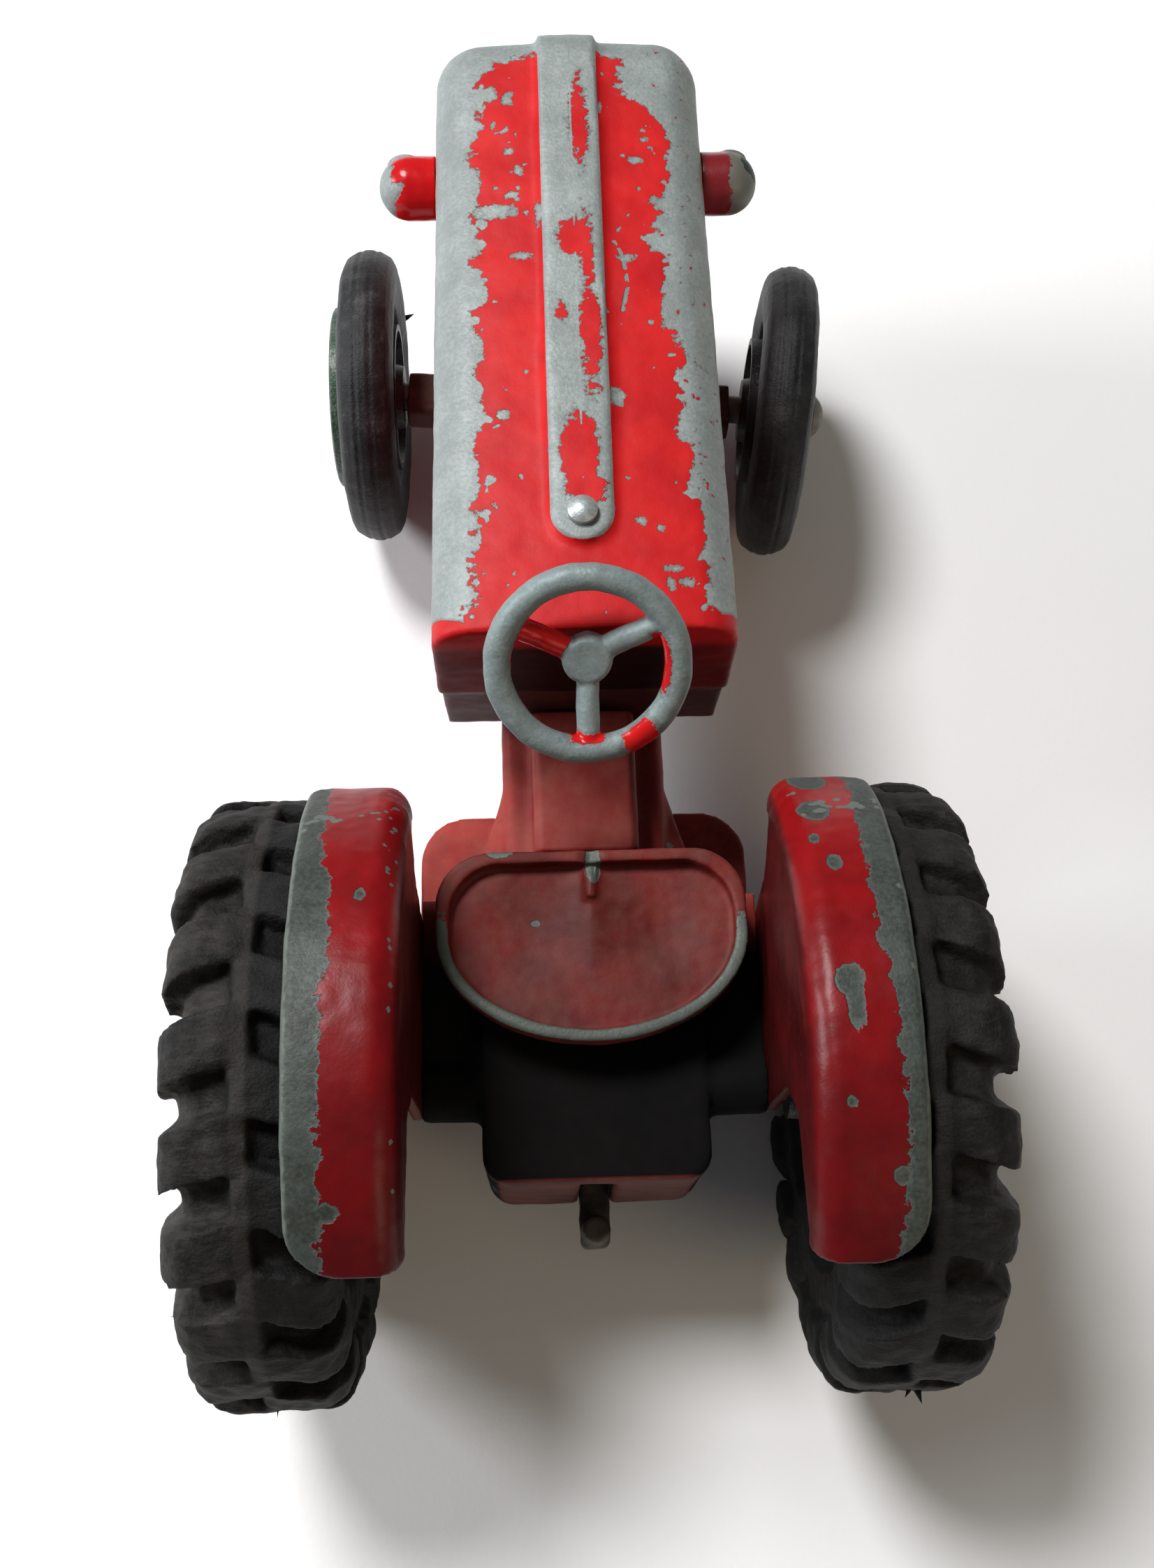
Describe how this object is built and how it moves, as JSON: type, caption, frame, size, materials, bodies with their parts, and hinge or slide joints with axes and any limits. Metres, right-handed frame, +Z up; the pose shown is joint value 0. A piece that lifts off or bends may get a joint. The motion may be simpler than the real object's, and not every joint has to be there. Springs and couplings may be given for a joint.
{
  "type": "toy tractor",
  "caption": "Worn die-cast toy farm tractor with bonnet, fenders, seat, steering wheel, lugged rear tyres, swinging front axle and tow hook.",
  "frame": {"origin": "bottom centre of the whole tractor's box, on the surface that it stands on", "axes": "+Y forward along the bonnet, +X to the driver's right, +Z up"},
  "size_m": [0.0404, 0.0774, 0.0328],
  "materials": {
    "red_paint": "gloss enamel, chipped to bare metal along the edges",
    "green_paint": "thin worn enamel over metal",
    "bare_zinc": "dull grey cast metal",
    "bare_steel": "dark drawn wire and pressed steel",
    "tyre_rubber": "matte, dusty"
  },
  "bodies": {
    "chassis": {"chassis": "red_paint", "bonnet": "red_paint", "filler_cap": "bare_zinc", "headlamp_left": "red_paint", "headlamp_right": "red_paint", "base_plate": "bare_steel", "base_rivets": "bare_steel", "bonnet_rivets": "bare_steel", "fender_left": "red_paint", "fender_right": "red_paint", "fender_rivets": "bare_steel", "seat": "red_paint", "tow_hook": "bare_zinc", "kingpin": "bare_steel", "kingpin_washer": "bare_steel", "rear_axle_rod": "bare_steel"},
    "front_axle": {"front_beam": "red_paint", "front_axle_pin_left": "bare_steel", "front_axle_pin_right": "bare_steel"},
    "front_wheel_left": {"front_hub_left": "green_paint", "front_tyre_left": "tyre_rubber"},
    "front_wheel_right": {"front_hub_right": "green_paint", "front_tyre_right": "tyre_rubber"},
    "rear_wheel_left": {"rear_hub_left": "green_paint", "rear_tyre_left": "tyre_rubber"},
    "rear_wheel_right": {"rear_hub_right": "green_paint", "rear_tyre_right": "tyre_rubber"},
    "steering": {"steering_wheel": "bare_zinc", "steering_column": "bare_steel"}
  },
  "joints": [
    {"name": "front_axle_steer", "type": "hinge", "parent": "chassis", "child": "front_axle", "pos_m": [0, 0.024, 0.0094], "axis": [0, 0, 1], "range_deg": [-11.3, 18.7]},
    {"name": "front_wheel_left_spin", "type": "hinge", "parent": "front_axle", "child": "front_wheel_left", "pos_m": [-0.00848, 0.02455, 0.0094], "axis": [1, -0.007, 0], "continuous": true},
    {"name": "front_wheel_right_spin", "type": "hinge", "parent": "front_axle", "child": "front_wheel_right", "pos_m": [0.00848, 0.02345, 0.0094], "axis": [0.9925, -0.1219, 0], "continuous": true},
    {"name": "rear_wheel_left_spin", "type": "hinge", "parent": "chassis", "child": "rear_wheel_left", "pos_m": [0, -0.0227, 0.016], "axis": [1, 0, 0], "continuous": true},
    {"name": "rear_wheel_right_spin", "type": "hinge", "parent": "chassis", "child": "rear_wheel_right", "pos_m": [0, -0.0227, 0.016], "axis": [1, 0, 0], "continuous": true},
    {"name": "steering_wheel_turn", "type": "hinge", "parent": "chassis", "child": "steering", "pos_m": [0, -0.0032, 0.0287], "axis": [0, -0.6691, 0.7431], "continuous": true}
  ]
}
